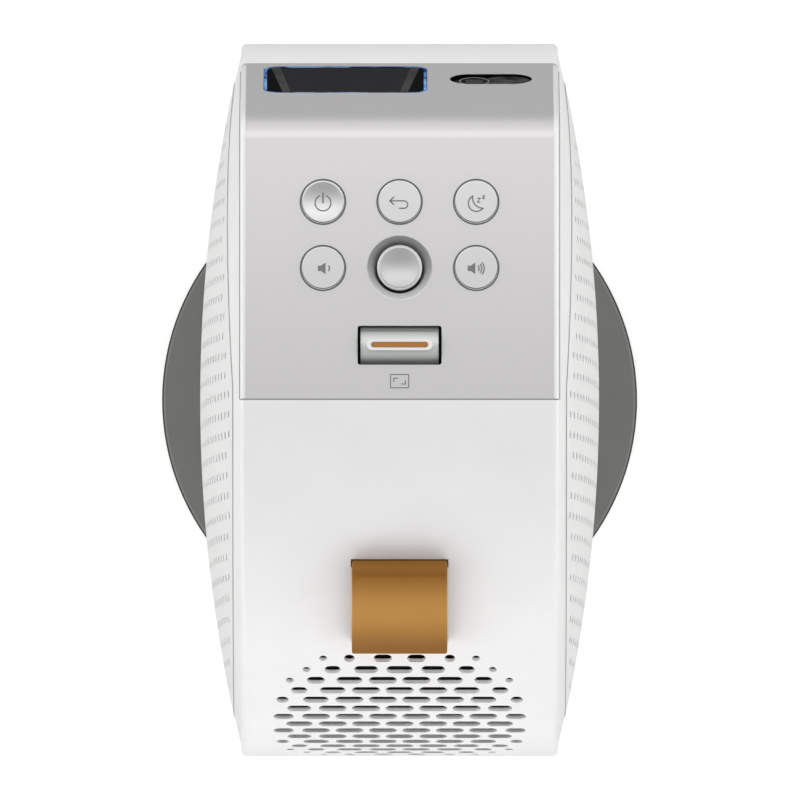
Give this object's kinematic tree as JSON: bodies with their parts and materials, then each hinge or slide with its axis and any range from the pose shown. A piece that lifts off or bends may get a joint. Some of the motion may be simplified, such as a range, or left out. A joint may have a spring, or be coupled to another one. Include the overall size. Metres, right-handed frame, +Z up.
{
  "type": "portable projector",
  "caption": "Portable projector: a drum lying on its side with a bent front panel, controls on top and a leather strap, tilting in a saddle on a round base.",
  "frame": {"origin": "centre of the base where it stands on the table, under the drum's axis", "axes": "+Z up; -Y is the way the lens looks; +X is the projector's left, seen from behind it"},
  "size_m": [0.1442, 0.214, 0.2259],
  "materials": {
    "base_grey": "fine texture",
    "rubber_black": "matt",
    "cast_iron": "raw",
    "zinc_steel": "zinc plated",
    "white_shell": "satin",
    "silver_panel": "satin, anodised",
    "key_silver": "satin silver paint",
    "inlay_tan": "brushed look",
    "dark_glass": "blue coated",
    "lens_glass": "coated",
    "black_plastic": "matt",
    "grey_plastic": "matt",
    "alloy": "as machined",
    "brass": "turned",
    "board_green": "solder mask",
    "engine_cover": "glass filled",
    "battery_wrap": "shrink wrap",
    "leather_tan": "smooth",
    "port_grey": "satin"
  },
  "bodies": {
    "base": {"base_disc": "base_grey", "ballast_ring": "cast_iron", "foot_ring": "rubber_black", "cradle": "base_grey", "cradle_pad_left": "rubber_black", "cradle_pad_right": "rubber_black", "cradle_magnets": "zinc_steel", "base_screws": "zinc_steel"},
    "drum": {"drum_shell": "white_shell", "control_panel": "silver_panel", "side_cover_left": "white_shell", "side_cover_right": "white_shell", "speaker_frame_left": "grey_plastic", "speaker_frame_right": "grey_plastic", "keeper_band_left": "zinc_steel", "keeper_band_right": "zinc_steel", "chassis_tray": "alloy", "lens_window": "dark_glass", "lens_bezel": "black_plastic", "lens_barrel": "black_plastic", "front_element": "lens_glass", "light_engine": "engine_cover", "sensor_window": "dark_glass", "sensor_housing": "black_plastic", "camera_module": "black_plastic", "range_sensor": "black_plastic", "joystick_housing": "grey_plastic", "rocker_bracket": "grey_plastic", "key_board": "board_green", "strap": "leather_tan", "strap_clamps": "zinc_steel", "vent_duct": "black_plastic", "fan_frame": "black_plastic", "heat_sink": "alloy", "main_board": "board_green", "battery_pack": "battery_wrap", "woofer": "grey_plastic", "passive_radiator": "grey_plastic", "tweeter_left": "grey_plastic", "tweeter_right": "grey_plastic", "port_panel": "port_grey", "hdmi_socket": "zinc_steel", "usb_a_socket": "zinc_steel", "usb_c_socket": "zinc_steel", "audio_jack": "black_plastic"},
    "power_key": {"power_key": "key_silver"},
    "back_key": {"back_key": "key_silver"},
    "sleep_key": {"sleep_key": "key_silver"},
    "volume_down_key": {"volume_down_key": "key_silver"},
    "volume_up_key": {"volume_up_key": "key_silver"},
    "stick_gimbal": {"joystick_gimbal": "brass"},
    "stick": {"joystick_stick": "zinc_steel"},
    "stick_knob": {"joystick_knob": "key_silver"},
    "rocker": {"zoom_rocker": "key_silver", "rocker_inlay": "inlay_tan"},
    "focus_group": {"focus_cell": "brass", "focus_element": "lens_glass"},
    "fan": {"fan_rotor": "black_plastic"}
  },
  "joints": [
    {"name": "drum_tilt", "type": "hinge", "parent": "base", "child": "drum", "pos_m": [0, 0, 0.1189], "axis": [-1, 0, 0], "range_deg": [0, 135]},
    {"name": "power_key_press", "type": "slide", "parent": "drum", "child": "power_key", "axis": [0, 0.108, -0.9942], "range_m": [0, 0.0008], "stiffness_N_per_m": 2500, "springref_m": -0.0003},
    {"name": "back_key_press", "type": "slide", "parent": "drum", "child": "back_key", "axis": [0, 0.108, -0.9942], "range_m": [0, 0.0008], "stiffness_N_per_m": 2500, "springref_m": -0.0003},
    {"name": "sleep_key_press", "type": "slide", "parent": "drum", "child": "sleep_key", "axis": [0, 0.108, -0.9942], "range_m": [0, 0.0008], "stiffness_N_per_m": 2500, "springref_m": -0.0003},
    {"name": "volume_down_key_press", "type": "slide", "parent": "drum", "child": "volume_down_key", "axis": [0, 0.108, -0.9942], "range_m": [0, 0.0008], "stiffness_N_per_m": 2500, "springref_m": -0.0003},
    {"name": "volume_up_key_press", "type": "slide", "parent": "drum", "child": "volume_up_key", "axis": [0, 0.108, -0.9942], "range_m": [0, 0.0008], "stiffness_N_per_m": 2500, "springref_m": -0.0003},
    {"name": "stick_fore_aft", "type": "hinge", "parent": "drum", "child": "stick_gimbal", "pos_m": [0, -0.03873, 0.21666], "axis": [1, 0, 0], "range_deg": [-6, 6], "stiffness_Nm_per_rad": 0.07},
    {"name": "stick_side", "type": "hinge", "parent": "stick_gimbal", "child": "stick", "pos_m": [0, -0.03873, 0.21666], "axis": [0, -0.9942, -0.108], "range_deg": [-6, 6], "stiffness_Nm_per_rad": 0.07},
    {"name": "stick_press", "type": "slide", "parent": "stick", "child": "stick_knob", "axis": [0, 0.108, -0.9942], "range_m": [0, 0.0005], "stiffness_N_per_m": 4000, "springref_m": -0.0002},
    {"name": "zoom_rock", "type": "hinge", "parent": "drum", "child": "rocker", "pos_m": [0, -0.01563, 0.21796], "axis": [1, 0, 0], "range_deg": [-15, 15], "stiffness_Nm_per_rad": 0.05},
    {"name": "focus_travel", "type": "slide", "parent": "drum", "child": "focus_group", "axis": [0, -1, 0], "range_m": [-0.0025, 0.0025]},
    {"name": "fan_spin", "type": "hinge", "parent": "drum", "child": "fan", "pos_m": [0, 0.0695, 0.1549], "axis": [0, 1, 0], "continuous": true}
  ]
}
